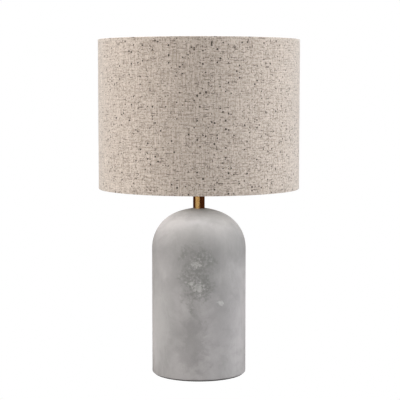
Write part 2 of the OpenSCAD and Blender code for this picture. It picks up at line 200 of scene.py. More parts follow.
def piece(name, body, material, grids, closed_outline=True, open_ring=False, uv=None, sharp=40,
          replaces=()):
    """Makes one named piece from surface grids and lets it ride on a body.

    Rows go round and columns follow the outline. Points that meet are welded, which closes poles and
    seams, and the faces of a closed piece are turned outwards.
    """
    points, faces = [], []
    for grid in grids:
        rows, cols = grid.shape[:2]
        faces.append(quads(rows, cols, not open_ring, closed_outline, sum(len(p) for p in points)))
        points.append(grid.reshape(-1, 3))
    points = np.concatenate(points)
    faces = np.concatenate(faces)
    mesh = bpy.data.meshes.new(name)
    mesh.from_pydata(points.tolist(), [], faces.tolist())
    if uv is not None:
        corner = np.empty(len(mesh.loops), np.int32)
        mesh.loops.foreach_get("vertex_index", corner)
        layer = mesh.uv_layers.new(name="cloth")
        layer.uv.foreach_set("vector", np.ascontiguousarray(uv.reshape(-1, 2)[corner], np.float32).ravel())
    bm = bmesh.new()
    bm.from_mesh(mesh)
    bmesh.ops.remove_doubles(bm, verts=bm.verts, dist=WELD)
    bmesh.ops.dissolve_degenerate(bm, edges=bm.edges, dist=WELD / 10)
    bmesh.ops.recalc_face_normals(bm, faces=bm.faces)
    bm.to_mesh(mesh)
    bm.free()
    mesh.polygons.foreach_set("use_smooth", np.ones(len(mesh.polygons), bool))
    mesh.set_sharp_from_angle(angle=math.radians(sharp))
    obj = bpy.data.objects.new(name, mesh)
    bpy.context.scene.collection.objects.link(obj)
    obj.data.materials.append(material)
    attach(obj, body)
    if replaces:
        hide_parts(*replaces)
    return obj


# ---------------------------------------------------------------- node helpers

def group(name, inputs, outputs):
    """A shader node group with named sockets: {name: (kind, default)}."""
    tree = bpy.data.node_groups.new(name, "ShaderNodeTree")
    kinds = {"value": "NodeSocketFloat", "colour": "NodeSocketColor", "vector": "NodeSocketVector"}
    for label, (kind, default) in inputs.items():
        socket = tree.interface.new_socket(name=label, in_out="INPUT", socket_type=kinds[kind])
        if default is not None:
            socket.default_value = default
    for label, kind in outputs.items():
        tree.interface.new_socket(name=label, in_out="OUTPUT", socket_type=kinds[kind])
    return tree, tree.nodes.new("NodeGroupInput"), tree.nodes.new("NodeGroupOutput")


def set_inputs(tree, node, inputs):
    """Links a socket to another node's output, or sets its value."""
    for label, value in inputs.items():
        socket = node.inputs[label]
        if isinstance(value, bpy.types.NodeSocket):
            tree.links.new(value, socket)
        else:
            socket.default_value = value
    return node


def placed(tree, kind, inputs=None, **settings):
    """Adds a node with its settings and inputs."""
    node = tree.nodes.new(kind)
    for key, value in settings.items():
        setattr(node, key, value)
    return set_inputs(tree, node, inputs or {})


def maths(tree, operation, a, b=0.0, clamp=False):
    """Output of a Math node."""
    node = placed(tree, "ShaderNodeMath", operation=operation, use_clamp=clamp)
    set_inputs(tree, node, {0: a, 1: b})
    return node.outputs[0]


def vectors(tree, operation, a, b):
    """Output of a Vector Math node; SCALE takes a number in place of the second vector."""
    second = "Scale" if operation == "SCALE" else 1
    return placed(tree, "ShaderNodeVectorMath", {0: a, second: b}, operation=operation).outputs[0]


def noise(tree, vector, scale, detail=2.0, roughness=0.5, distortion=0.0):
    """Output of a Noise texture."""
    inputs = {"Vector": vector, "Scale": scale, "Detail": detail, "Roughness": roughness,
              "Distortion": distortion}
    return placed(tree, "ShaderNodeTexNoise", inputs).outputs["Fac"]


def stretched(tree, vector, scale, turn=(0, 0, 0), move=(0, 0, 0)):
    """Output of a Mapping node."""
    return placed(tree, "ShaderNodeMapping", {"Vector": vector, "Scale": scale, "Rotation": turn,
                                              "Location": move}).outputs[0]


def ramp(tree, value, low_edge, high_edge, low_value=0.0, high_value=1.0):
    """Smooth step of a value between two edges."""
    inputs = {"Value": value, "From Min": low_edge, "From Max": high_edge, "To Min": low_value,
              "To Max": high_value}
    return placed(tree, "ShaderNodeMapRange", inputs, interpolation_type="SMOOTHSTEP").outputs[0]


def blend_colour(tree, factor, a, b):
    """Output of a colour Mix node."""
    node = placed(tree, "ShaderNodeMix", data_type="RGBA", blend_type="MIX")
    set_inputs(tree, node, {0: factor, 6: a, 7: b})
    return node.outputs[2]


def use(tree, shared, inputs):
    """Places a shared group in a material."""
    node = placed(tree, "ShaderNodeGroup", node_tree=shared)
    return set_inputs(tree, node, inputs).outputs


def shader(name, **constants):
    """New material with its Principled shader: (material, tree, shader, object coordinates)."""
    material = bpy.data.materials.new(name)
    material.use_nodes = True
    tree = material.node_tree
    principled = tree.nodes["Principled BSDF"]
    for label, value in constants.items():
        principled.inputs[label.replace("_", " ")].default_value = value
    where = tree.nodes.new("ShaderNodeTexCoord").outputs["Object"]
    return material, tree, principled, where


def bump(tree, principled, height, depth, strength):
    """Sends a height through a Bump node to the shader's normal."""
    node = placed(tree, "ShaderNodeBump", {"Height": height, "Distance": depth, "Strength": strength})
    tree.links.new(node.outputs[0], principled.inputs["Normal"])


def feed(tree, principled, **sources):
    """Links outputs to the shader's sockets."""
    for label, source in sources.items():
        tree.links.new(source, principled.inputs[label.replace("_", " ")])


# ---------------------------------------------------------------- shared effects

def woven_cloth():
    """Plain weave of uneven yarns, read in metres along and across the cloth.

    Height is the larger of two rows of ridges |sin(pi x / p)| and |sin(pi y / p)|, each weighted by
    0.75 + 0.25 cos(pi x / p) cos(pi y / p) or what that leaves of 1.5, so they pass over and under each
    other. Tone follows noise drawn out along the yarns, Slub marks the thick dark stretches and Fleck
    the husks.
    """
    tree, given, out = group("woven_cloth", {"Cloth": ("vector", None), "Thread": ("value", 0.6 * MM)},
                             {"Height": "value", "Tone": "value", "Slub": "value", "Fleck": "value"})
    cloth = given.outputs["Cloth"]
    wander = placed(tree, "ShaderNodeTexNoise", {"Vector": cloth, "Scale": 260.0, "Detail": 2.0})
    shift = vectors(tree, "SUBTRACT", wander.outputs["Color"], (0.5, 0.5, 0.5))
    moved = vectors(tree, "ADD", cloth, vectors(tree, "SCALE", shift, 0.5 * MM))
    parts = placed(tree, "ShaderNodeSeparateXYZ", {0: moved})
    across = maths(tree, "DIVIDE", parts.outputs["X"], given.outputs["Thread"])
    up = maths(tree, "DIVIDE", parts.outputs["Y"], given.outputs["Thread"])
    warp = maths(tree, "ABSOLUTE", maths(tree, "SINE", maths(tree, "MULTIPLY", across, math.pi)))
    weft = maths(tree, "ABSOLUTE", maths(tree, "SINE", maths(tree, "MULTIPLY", up, math.pi)))
    over = maths(tree, "MULTIPLY", maths(tree, "COSINE", maths(tree, "MULTIPLY", across, math.pi)),
                 maths(tree, "COSINE", maths(tree, "MULTIPLY", up, math.pi)))
    over = maths(tree, "MULTIPLY_ADD", over, 0.25)
    over.node.inputs[2].default_value = 0.75
    under = maths(tree, "SUBTRACT", 1.5, over)
    ridges = maths(tree, "MAXIMUM", maths(tree, "MULTIPLY", warp, over),
                   maths(tree, "MULTIPLY", weft, under))

    long_warp = noise(tree, stretched(tree, cloth, (850, 26, 1)), 1.0, 2.0, 0.55)
    long_weft = noise(tree, stretched(tree, cloth, (34, 850, 1), move=(7, 3, 0)), 1.0, 2.0, 0.55)
    soft = noise(tree, stretched(tree, cloth, (330, 330, 1), move=(2, 9, 0)), 1.0, 4.0, 0.7)
    tone = maths(tree, "MULTIPLY", long_warp, 0.28)
    tone = maths(tree, "ADD", tone, maths(tree, "MULTIPLY", long_weft, 0.24))
    tone = maths(tree, "ADD", tone, maths(tree, "MULTIPLY", soft, 0.48))

    slub_weft = noise(tree, stretched(tree, cloth, (95, 700, 1), move=(3, 5, 0)), 1.0, 1.5, 0.5)
    slub_warp = noise(tree, stretched(tree, cloth, (680, 120, 1), move=(11, 4, 0)), 1.0, 1.5, 0.5)
    slub = maths(tree, "MAXIMUM", ramp(tree, slub_weft, 0.635, 0.67), ramp(tree, slub_warp, 0.655, 0.70))

    dots = []
    for scale, least, most in ((250.0, 0.66, 0.36), (520.0, 0.45, 0.42)):
        cells = placed(tree, "ShaderNodeTexVoronoi", {"Vector": moved, "Scale": scale, "Randomness": 1.0})
        chance = placed(tree, "ShaderNodeSeparateColor", {0: cells.outputs["Color"]}).outputs[0]
        size = ramp(tree, chance, least, 1.0, 0.0, most)
        dots.append(maths(tree, "LESS_THAN", cells.outputs["Distance"], size))
    dot = maths(tree, "MAXIMUM", dots[0], maths(tree, "MULTIPLY", dots[1], 0.6))
    height = maths(tree, "ADD", maths(tree, "MULTIPLY", ridges, 0.6), maths(tree, "MULTIPLY", slub, 0.4))
    for label, value in {"Height": height, "Tone": tone, "Slub": slub, "Fleck": dot}.items():
        tree.links.new(value, out.inputs[label])
    return tree


def turned_metal():
    """Marks on machined metal: fine rings round the lamp's axis, stray scratches and soft stains."""
    tree, given, out = group("turned_metal", {"Place": ("vector", None), "Rings": ("value", 2600.0)},
                             {"Height": "value", "Marks": "value", "Stain": "value"})
    place = given.outputs["Place"]
    z = placed(tree, "ShaderNodeSeparateXYZ", {0: place}).outputs["Z"]
    line = placed(tree, "ShaderNodeCombineXYZ", {"X": maths(tree, "MULTIPLY", z, given.outputs["Rings"])})
    rings = noise(tree, line.outputs[0], 1.0, 3.0, 0.7)
    scratch = noise(tree, stretched(tree, place, (90, 2400, 700), turn=(0.5, 0.9, 0.3)), 1.0, 1.0, 0.5)
    scratch = ramp(tree, scratch, 0.68, 0.74)
    stain = noise(tree, place, 55.0, 4.0, 0.62)
    marks = maths(tree, "ADD", maths(tree, "MULTIPLY", rings, 0.75), maths(tree, "MULTIPLY", scratch, 0.25))
    for label, value in {"Height": marks, "Marks": marks, "Stain": stain}.items():
        tree.links.new(value, out.inputs[label])
    return tree


def settled_dust():
    """Thin dust where a surface faces up, broken up by noise."""
    tree, given, out = group("settled_dust", {"Place": ("vector", None), "Amount": ("value", 0.3)},
                             {"Mask": "value"})
    up = placed(tree, "ShaderNodeSeparateXYZ",
                {0: tree.nodes.new("ShaderNodeNewGeometry").outputs["Normal"]}).outputs["Z"]
    patch = noise(tree, given.outputs["Place"], 180.0, 4.0, 0.65)
    mask = maths(tree, "MULTIPLY", ramp(tree, up, 0.35, 0.95), ramp(tree, patch, 0.35, 0.75))
    tree.links.new(maths(tree, "MULTIPLY", mask, given.outputs["Amount"], clamp=True), out.inputs["Mask"])
    return tree


CLOTH_EFFECT = woven_cloth()
METAL_EFFECT = turned_metal()
DUST_EFFECT = settled_dust()


# ---------------------------------------------------------------- materials

def linen():
    """Oatmeal linen with darker slubs and flecks and painted shade between the yarns; reads the cloth's own
    length and width.
    """
    material, tree, principled, _ = shader("linen", Roughness=0.92, Specular_IOR_Level=0.18,
                                           Sheen_Weight=0.4, Sheen_Roughness=0.5)
    cloth = placed(tree, "ShaderNodeUVMap", uv_map="cloth").outputs[0]
    weave = use(tree, CLOTH_EFFECT, {"Cloth": cloth, "Thread": YARN_PITCH})
    colour = blend_colour(tree, ramp(tree, weave["Tone"], 0.38, 0.60), (0.31, 0.255, 0.21, 1),
                          (0.60, 0.52, 0.455, 1))
    colour = blend_colour(tree, maths(tree, "MULTIPLY", weave["Slub"], 0.85), colour,
                          (0.07, 0.048, 0.036, 1))
    colour = blend_colour(tree, maths(tree, "MULTIPLY", weave["Fleck"], 0.95), colour,
                          (0.04, 0.028, 0.022, 1))
    # Painted shade: the low places between the yarns are coloured darker
    gap_shade = ramp(tree, weave["Height"], 0.05, 0.4, 0.3, 0.0)
    colour = blend_colour(tree, gap_shade, colour, (0.2, 0.16, 0.12, 1))
    feed(tree, principled, Base_Color=colour)
    bump(tree, principled, weave["Height"], 0.22 * MM, 0.55)
    return material


def liner_film():
    """Stiff off-white film with painted shade of the weave behind it: a faint shadow of the weave showing
    through.
    """
    material, tree, principled, where = shader("liner_film", Specular_IOR_Level=0.4, Roughness=0.5)
    parts = placed(tree, "ShaderNodeSeparateXYZ", {0: where})
    angle = maths(tree, "ARCTAN2", parts.outputs["Y"], parts.outputs["X"])
    along_film = maths(tree, "MULTIPLY", angle, FILM_R)
    flat = placed(tree, "ShaderNodeCombineXYZ", {"X": along_film, "Y": parts.outputs["Z"]}).outputs[0]
    weave = use(tree, CLOTH_EFFECT, {"Cloth": flat, "Thread": YARN_PITCH})
    # Painted shade: the tone and slubs of the weave behind the film are painted on it as a faint shadow
    # showing through
    colour = blend_colour(tree, ramp(tree, weave["Tone"], 0.3, 0.7), (0.70, 0.665, 0.60, 1),
                          (0.80, 0.775, 0.72, 1))
    colour = blend_colour(tree, maths(tree, "MULTIPLY", weave["Slub"], 0.22), colour,
                          (0.5, 0.43, 0.35, 1))
    rough = ramp(tree, noise(tree, where, 40.0), 0.3, 0.7, 0.42, 0.6)
    feed(tree, principled, Base_Color=colour, Roughness=rough)
    bump(tree, principled, weave["Height"], 0.04 * MM, 0.5)
    return material


def distance(tree, place, centre, spread):
    """Distance from a mark's middle, 1 on the ellipsoid with its three half widths."""
    offset = vectors(tree, "DIVIDE", vectors(tree, "SUBTRACT", place, centre), spread)
    return placed(tree, "ShaderNodeVectorMath", {0: offset}, operation="LENGTH").outputs["Value"]


def cast_stone():
    """Cloudy grey cast stone: soft clouds, faint streaks, sugary grains, the marks on its front, painted
    shade on the dome's shoulder and the right side, and painted light at the left edge.
    """
    material, tree, principled, where = shader("cast_stone", Specular_IOR_Level=0.35, IOR=1.5)
    warp = placed(tree, "ShaderNodeTexNoise", {"Vector": where, "Scale": 14.0, "Detail": 3.0})
    moved = vectors(tree, "ADD", where, vectors(tree, "SCALE", warp.outputs["Color"], 0.035))
    cloud = noise(tree, stretched(tree, moved, (1, 1, 0.7), turn=(0, 0.5, 0)), 13.0, 4.0, 0.5)
    mottle = noise(tree, moved, 60.0, 5.0, 0.62)
    grain = noise(tree, where, 900.0, 3.0, 0.6)
    sugar = noise(tree, where, 240.0, 4.0, 0.75)
    colour = blend_colour(tree, ramp(tree, cloud, 0.34, 0.66), (0.278, 0.268, 0.262, 1),
                          (0.405, 0.383, 0.380, 1))
    colour = blend_colour(tree, maths(tree, "MULTIPLY", ramp(tree, mottle, 0.45, 0.7), 0.3), colour,
                          (0.245, 0.238, 0.228, 1))
    streak = noise(tree, stretched(tree, moved, (24, 24, 4), turn=(0.3, 0.55, 0)), 1.0, 4.0, 0.6)
    streak = maths(tree, "ABSOLUTE", maths(tree, "SUBTRACT", streak, 0.5))
    colour = blend_colour(tree, ramp(tree, streak, 0.03, 0.0, 0.0, 0.10), colour,
                          (0.50, 0.485, 0.475, 1))

    # Painted shade: the shoulder of the dome is coloured a little darker than the wall
    height = placed(tree, "ShaderNodeSeparateXYZ", {0: moved}).outputs["Z"]
    shoulder_shade = maths(tree, "MULTIPLY", ramp(tree, height, 0.175, 0.205), ramp(tree, height, 0.25, 0.222))
    colour = blend_colour(tree, maths(tree, "MULTIPLY", shoulder_shade, 0.42), colour, (0.225, 0.218, 0.212, 1))

    # Each mark is a distance made ragged by noise and cut off by a smooth step
    ragged = noise(tree, moved, 48.0, 5.0, 0.7)
    ragged = maths(tree, "MULTIPLY", maths(tree, "SUBTRACT", ragged, 0.5), 2.6)
    soft = maths(tree, "MULTIPLY", ragged, 0.5)
    # Painted shade on the right side and painted light at the left edge, each as a broad cloud
    for centre, spread, factor, tone in PAINTED_SIDE_SHADE_AND_LIGHT:
        patch = maths(tree, "ADD", distance(tree, where, centre, spread), soft)
        colour = blend_colour(tree, ramp(tree, patch, 1.4, 0.3, 0.0, factor), colour, tone)
    stain = maths(tree, "ADD", distance(tree, where, *STAIN), ragged)
    colour = blend_colour(tree, ramp(tree, stain, 1.3, 0.4, 0.0, 0.45), colour,
                          (0.195, 0.190, 0.184, 1))
    away = maths(tree, "ADD", distance(tree, where, *POCKET), ragged)
    pocket = ramp(tree, away, 1.1, 0.55)
    for edges, tone in (((0.62, 0.38, 0.25, 0.75), (0.175, 0.175, 0.163, 1)),
                        ((0.50, 0.66, 0.0, 0.55), (0.36, 0.352, 0.34, 1))):
        grains = maths(tree, "MULTIPLY", pocket, ramp(tree, sugar, *edges))
        colour = blend_colour(tree, grains, colour, tone)
    torn = maths(tree, "SUBTRACT", noise(tree, where, 170.0, 4.0, 0.7), 0.5)
    torn = maths(tree, "MULTIPLY", torn, 4.5)
    crumbs = ramp(tree, noise(tree, where, 190.0, 4.0, 0.65), 0.62, 0.68, 0.0, 0.7)
    crystal = maths(tree, "MULTIPLY", crumbs, ramp(tree, away, 1.1, 0.7))
    for centre, spread in CRYSTALS:
        blob = maths(tree, "ADD", distance(tree, where, centre, spread), torn)
        crystal = maths(tree, "MAXIMUM", crystal, ramp(tree, blob, 1.1, 0.8))
    facet = ramp(tree, sugar, 0.3, 0.7, 0.3, 0.75)
    colour = blend_colour(tree, maths(tree, "MULTIPLY", crystal, facet), colour, (0.47, 0.455, 0.44, 1))

    speck = maths(tree, "MULTIPLY", ramp(tree, grain, 0.58, 0.75), 0.2)
    colour = blend_colour(tree, speck, colour, (0.55, 0.54, 0.53, 1))
    dark = maths(tree, "MULTIPLY", ramp(tree, grain, 0.42, 0.28), 0.2)
    colour = blend_colour(tree, dark, colour, (0.21, 0.205, 0.2, 1))
    rough = ramp(tree, mottle, 0.3, 0.7, 0.46, 0.62)
    feed(tree, principled, Base_Color=colour, Roughness=rough)
    pits = ramp(tree, noise(tree, where, 420.0, 2.0, 0.6), 0.30, 0.38)
    height = maths(tree, "ADD", maths(tree, "MULTIPLY", pits, 0.7), maths(tree, "MULTIPLY", grain, 0.3))
    bump(tree, principled, height, 0.08 * MM, 0.5)
    return material


def metal(name, colour, tarnish, rough_low, rough_high, dust=0.12):
    """Turned metal with fine rings, light scratches, stains and a little dust."""
    material, tree, principled, where = shader(name, Metallic=1.0, Specular_IOR_Level=0.5)
    marks = use(tree, METAL_EFFECT, {"Place": where, "Rings": 2600.0})
    dusty = use(tree, DUST_EFFECT, {"Place": where, "Amount": dust})["Mask"]
    tint = blend_colour(tree, ramp(tree, marks["Stain"], 0.42, 0.68), colour, tarnish)
    tint = blend_colour(tree, dusty, tint, (0.42, 0.40, 0.37, 1))
    rough = ramp(tree, marks["Marks"], 0.25, 0.75, rough_low, rough_high)
    feed(tree, principled, Base_Color=tint, Roughness=maths(tree, "ADD", rough, dusty, clamp=True))
    bump(tree, principled, marks["Height"], 0.008 * MM, 0.2)
    return material


def plain_coat(name, colour, second, rough_low, rough_high, scale=160.0, dust=0.15, **more):
    """Moulded, glazed or painted surface: soft tone change, uneven gloss, a fine orange-peel height."""
    material, tree, principled, where = shader(name, **more)
    soft = noise(tree, where, scale, 4.0, 0.6)
    peel = noise(tree, where, scale * 9, 2.0, 0.5)
    dusty = use(tree, DUST_EFFECT, {"Place": where, "Amount": dust})["Mask"]
    tint = blend_colour(tree, ramp(tree, soft, 0.35, 0.7), colour, second)
    tint = blend_colour(tree, dusty, tint, (0.52, 0.50, 0.47, 1))
    rough = ramp(tree, soft, 0.3, 0.7, rough_low, rough_high)
    feed(tree, principled, Base_Color=tint, Roughness=maths(tree, "ADD", rough, dusty, clamp=True))
    bump(tree, principled, peel, 0.03 * MM, 0.5)
    return material


def felt():
    """Pressed wool felt: matted fibres at two scales."""
    material, tree, principled, where = shader("felt", Roughness=0.95, Sheen_Weight=0.4,
                                               Specular_IOR_Level=0.1)
    fibre = noise(tree, stretched(tree, where, (1, 1, 0.4)), 1400.0, 4.0, 0.75, 1.5)
    clump = noise(tree, where, 150.0, 3.0, 0.6)
    colour = blend_colour(tree, fibre, (0.028, 0.027, 0.026, 1), (0.085, 0.082, 0.078, 1))
    colour = blend_colour(tree, maths(tree, "MULTIPLY", ramp(tree, clump, 0.45, 0.7), 0.5), colour,
                          (0.11, 0.105, 0.1, 1))
    feed(tree, principled, Base_Color=colour)
    bump(tree, principled, fibre, 0.3 * MM, 0.8)
    return material


def clear_glass():
    """Thin clear bulb glass with faint waves from blowing."""
    material, tree, principled, where = shader("bulb_glass", Base_Color=(0.98, 0.985, 0.98, 1),
                                               Transmission_Weight=1.0, IOR=1.46)
    wave = noise(tree, where, 45.0, 2.0)
    feed(tree, principled, Roughness=ramp(tree, wave, 0.3, 0.7, 0.015, 0.05))
    bump(tree, principled, wave, 0.2 * MM, 0.15)
    return material


LINEN = linen()
FILM = liner_film()
STONE = cast_stone()
FELT = felt()
GLASS = clear_glass()
BRASS = metal("satin_brass", (0.56, 0.37, 0.145, 1), (0.42, 0.23, 0.08, 1), 0.12, 0.22, dust=0.05)
RAW_BRASS = metal("raw_brass", (0.76, 0.58, 0.28, 1), (0.55, 0.38, 0.16, 1), 0.25, 0.45)
ZINC = metal("zinc_steel", (0.62, 0.63, 0.65, 1), (0.45, 0.45, 0.46, 1), 0.28, 0.5)
NICKEL = metal("nickel", (0.70, 0.68, 0.64, 1), (0.52, 0.50, 0.46, 1), 0.18, 0.36)
PORCELAIN = plain_coat("porcelain", (0.86, 0.85, 0.81, 1), (0.79, 0.77, 0.71, 1), 0.12, 0.3,
                       Coat_Weight=0.3)
WHITE_COAT = plain_coat("white_coat", (0.83, 0.825, 0.80, 1), (0.77, 0.76, 0.73, 1), 0.35, 0.5)
NYLON = plain_coat("black_nylon", (0.022, 0.022, 0.022, 1), (0.035, 0.034, 0.033, 1), 0.45, 0.6)
BAKELITE = plain_coat("bakelite", (0.030, 0.018, 0.012, 1), (0.055, 0.030, 0.018, 1), 0.2, 0.38,
                      Coat_Weight=0.2)
BLACK_GLASS = plain_coat("black_glass", (0.012, 0.012, 0.013, 1), (0.02, 0.02, 0.021, 1), 0.08, 0.2)
PHOSPHOR = plain_coat("phosphor", (0.80, 0.55, 0.10, 1), (0.72, 0.44, 0.06, 1), 0.5, 0.7,
                      scale=900.0, dust=0.0)


# ---------------------------------------------------------------- shade

TOP_Z = high("shade_fabric")[2]
BOTTOM_Z = low("shade_fabric")[2]
SHADE_R = radius("shade_fabric")
HOOP_R = radius("shade_bottom_wire") - WIRE
HOOP_LOW = low("shade_bottom_wire")[2] + WIRE
HOOP_HIGH = high("shade_top_wire")[2] - WIRE
CLOTH_R = SHADE_R - 0.3 * MM
ROLL_R = WIRE + 0.1 * MM + CLOTH / 2
LAP = 12 * MM
TUCK = 285.0  # degrees round the hoop
LAP_TUCK = 210.0
WAVE = 0.04 * MM


def cloth_path(tuck):
    """Middle line (r, z) of the cloth: round the lower hoop, up the outside, round the upper hoop.

    tuck is the angle in degrees that each roll goes round its hoop, counted from the rim.
    """
    rim = 0.45 * MM
    low_z = BOTTOM_Z + CLOTH / 2
    half = path(arc((HOOP_R, HOOP_LOW), ROLL_R, -90 - tuck, -90, 26),
                arc((CLOTH_R - rim, low_z + rim), rim, -90, 0, 7))
    middle = (HOOP_LOW + HOOP_HIGH) / 2
    other = half[::-1] * (1, -1) + (0, 2 * middle)
    return path(half, np.linspace(half[-1], other[0], 30)[1:-1], other)


def cloth_normal(line):
    """Directions square to a line (r, z), pointing away from the lamp on the outside of the shade."""
    d = np.gradient(line, axis=0)
    d /= np.linalg.norm(d, axis=1, keepdims=True)
    return np.stack([d[:, 1], -d[:, 0]], 1)


def linen_cover():
    """One sheet of linen from hoop to hoop, lapped at the back, with its edges tucked round the hoops.

    The wall stands at r = R + w (sin a + sin b + sin c), where a, b and c change slowly with the angle
    and the height, as glued cloth lies. Over the lap the sheet rises by its own thickness and tucks
    less far round the hoops.
    """
    round_once = TURN * CLOTH_R
    reach = round_once + LAP
    steps = np.concatenate([np.linspace(0, round_once - 6 * MM, 360),
                            np.linspace(round_once - 5 * MM, reach, 18)])
    base = cloth_path(TUCK)
    span = np.concatenate([[0], np.cumsum(np.linalg.norm(np.diff(base, axis=0), axis=1))])
    rows, uvs = [], []
    for s in steps:
        lift = ease((s - round_once + 4 * MM) / (4 * MM))
        line = cloth_path(TUCK - (TUCK - LAP_TUCK) * lift)
        out = cloth_normal(line)
        t = s / CLOTH_R
        from_rims = (line[:, 1] - BOTTOM_Z) * (TOP_Z - line[:, 1]) / (TOP_Z - BOTTOM_Z)
        wall = np.clip(from_rims / (10 * MM), 0, 1) * (line[:, 0] > CLOTH_R - 0.1 * MM)
        slow = np.sin(5 * t + 20 * line[:, 1]) + np.sin(9 * t - 31 * line[:, 1]) + np.sin(14 * t + 1)
        line = line + out * (lift * 1.08 * CLOTH + WAVE * wall * slow)[:, None]
        ends = 0.0 if s in (steps[0], steps[-1]) else 1.0
        sides = path(line + out * ends * CLOTH / 2, (line - out * ends * CLOTH / 2)[::-1])
        t += BACK
        rows.append(np.stack([sides[:, 0] * np.cos(t), sides[:, 0] * np.sin(t), sides[:, 1]], 1))
        uvs.append(np.stack([np.full(len(sides), s), np.concatenate([span, span[::-1]])], 1))
    sheet = piece("linen_cover", "shade", LINEN, [np.array(rows)], open_ring=True, uv=np.array(uvs),
                  replaces=("shade_fabric", "shade_hem_top", "shade_hem_bottom"))
    return sheet


def bead(where, size):
    """Weld bead: an ellipsoid with three half widths."""
    a = np.linspace(0, TURN, 16, endpoint=False)[:, None]
    b = np.linspace(-math.pi / 2, math.pi / 2, 8)[None, :]
    ball = np.stack([np.cos(b) * np.cos(a), np.cos(b) * np.sin(a), np.sin(b) + 0 * a], -1)
    return ball * size + where


def shade_frame():
    """Liner with its inner tape, bent arms with weld beads, and the fitter ring."""
    liner_out = radius("shade_liner")
    liner_in = max(HOOP_R + ROLL_R + 0.45 * MM, liner_out - 1.0 * MM)
    low_z, high_z = low("shade_liner")[2], high("shade_liner")[2]
    outline = rounded([(liner_in, low_z), (liner_out, low_z), (liner_out, high_z), (liner_in, high_z)],
                      0.2 * MM)
    piece("shade_liner_film", "shade", FILM, [revolve(outline, 256)], replaces=("shade_liner",))

    half_width, tape, inset = 6 * MM / liner_in, 0.2 * MM, 7 * MM
    r = liner_in - 0.02 * MM
    section = rounded([(r, low_z + inset), (r, high_z - inset), (r - tape, high_z - inset),
                       (r - tape, low_z + inset)], 0.05 * MM)
    rows = []
    for angle, full in zip(np.linspace(BACK - half_width, BACK + half_width, 9), [0] + [1] * 7 + [0]):
        sides = section.copy()
        sides[:, 0] = r - (r - sides[:, 0]) * full
        rows.append(np.stack([sides[:, 0] * np.cos(angle), sides[:, 0] * np.sin(angle), sides[:, 1]], 1))
    piece("liner_seam_tape", "shade", FILM, [np.array(rows)], open_ring=True)

    ring_low, ring_r = low("fitter_ring")[2], radius("fitter_ring")
    ring_high = high("fitter_ring")[2]
    bore = radius("seat_ring") - RING_RIM + 0.7 * MM
    flat_t = 1.2 * MM
    section = rounded([(bore, ring_low), (ring_r, ring_low), (ring_r, ring_high),
                       (ring_r - flat_t, ring_high), (ring_r - flat_t, ring_low + flat_t),
                       (bore, ring_low + flat_t)], 0.45 * MM)
    piece("fitter_ring_plate", "shade", WHITE_COAT, [revolve(section, 144)],
                  replaces=("fitter_ring",))

    bar_r = 1.4 * MM
    tab = np.array([ring_r - 4 * MM, 0, ring_low - bar_r - 0.05 * MM])
    bend = tab + (5.0 * MM, 0, 0)
    foot = np.array([HOOP_R, 0, HOOP_LOW])
    down = (foot - bend) / np.linalg.norm(foot - bend)
    t = np.linspace(0, 1, 12)[:, None]
    curve_start, curve_end = bend - (3 * MM, 0, 0), bend + down * 3 * MM
    curve = (1 - t) ** 2 * curve_start + 2 * t * (1 - t) * bend + t ** 2 * curve_end
    straight = curve_end + (foot - curve_end) * np.linspace(0.05, 1, 20)[:, None]
    spine = np.concatenate([tab[None], curve, straight])
    grids = []
    for k in range(3):
        angle = BACK + TURN * k / 3
        grids.append(turned(along(spine, bar_r, 20), "Z", angle))
        for side in (-1, 1):
            spot = tab + (2.4 * MM, side * bar_r * 0.85, bar_r * 0.7)
            grids.append(turned(bead(spot, (2.2 * MM, 0.7 * MM, 0.62 * MM)), "Z", angle))
    piece("shade_frame_arms", "shade", WHITE_COAT, grids, closed_outline=False,
                  replaces=("shade_arms",))


# ---------------------------------------------------------------- lampholder

SKIRT_LOW, SKIRT_HIGH = high("lampholder_cap")[2], high("lampholder_skirt")[2]
SKIRT_R = radius("lampholder_skirt")
THREAD_R = 12.675 * MM
THREAD_WAVE = 0.525 * MM


def threaded_skirt():
    """Skirt with a right-hand thread: r = R - d (1 + cos(2 pi z / p - t)) / 2 between its plain ends."""
    lip, turn_in, depth, break_edge = 0.7 * MM, 1.2 * MM, 0.6 * MM, 0.2 * MM
    foot = low("lampholder_skirt")[2]
    spigot = radius("lampholder_cap") - 1.35 * MM
    bore = SKIRT_R - depth - 0.65 * MM
    start, end = SKIRT_LOW + 1.6 * MM, SKIRT_HIGH - 2.2 * MM
    wall = np.stack([np.full(220, SKIRT_R), np.linspace(start, end, 220)], 1)
    corner = rounded([(SKIRT_R, end), (SKIRT_R, SKIRT_HIGH), (bore - turn_in, SKIRT_HIGH),
                      (bore - turn_in, SKIRT_HIGH - turn_in)], lip, 6, closed=False)[1:]
    outline = path((bore, foot), (spigot, foot), (spigot, SKIRT_LOW), (SKIRT_R - break_edge, SKIRT_LOW),
                   (SKIRT_R, SKIRT_LOW + break_edge), wall, corner, (bore, SKIRT_HIGH - turn_in))

    def thread(t, r, z):
        outer = (r > SKIRT_R - 0.05 * MM) * fade(z, start, end, 1.6 * MM)
        return r - outer * depth * (0.5 + 0.5 * np.cos(TURN * z / RING_THREAD_PITCH - t)), z

    piece("holder_skirt", "lamp_base", BRASS, [revolve(outline, 144, thread)], sharp=50,
                  replaces=("lampholder_skirt",))


def screw_thread(t, z):
    """Radius of the bulb's right-hand thread: R + a cos(2 pi z / p - t)."""
    return THREAD_R + THREAD_WAVE * np.cos(TURN * z / ROUND_THREAD_PITCH - t)


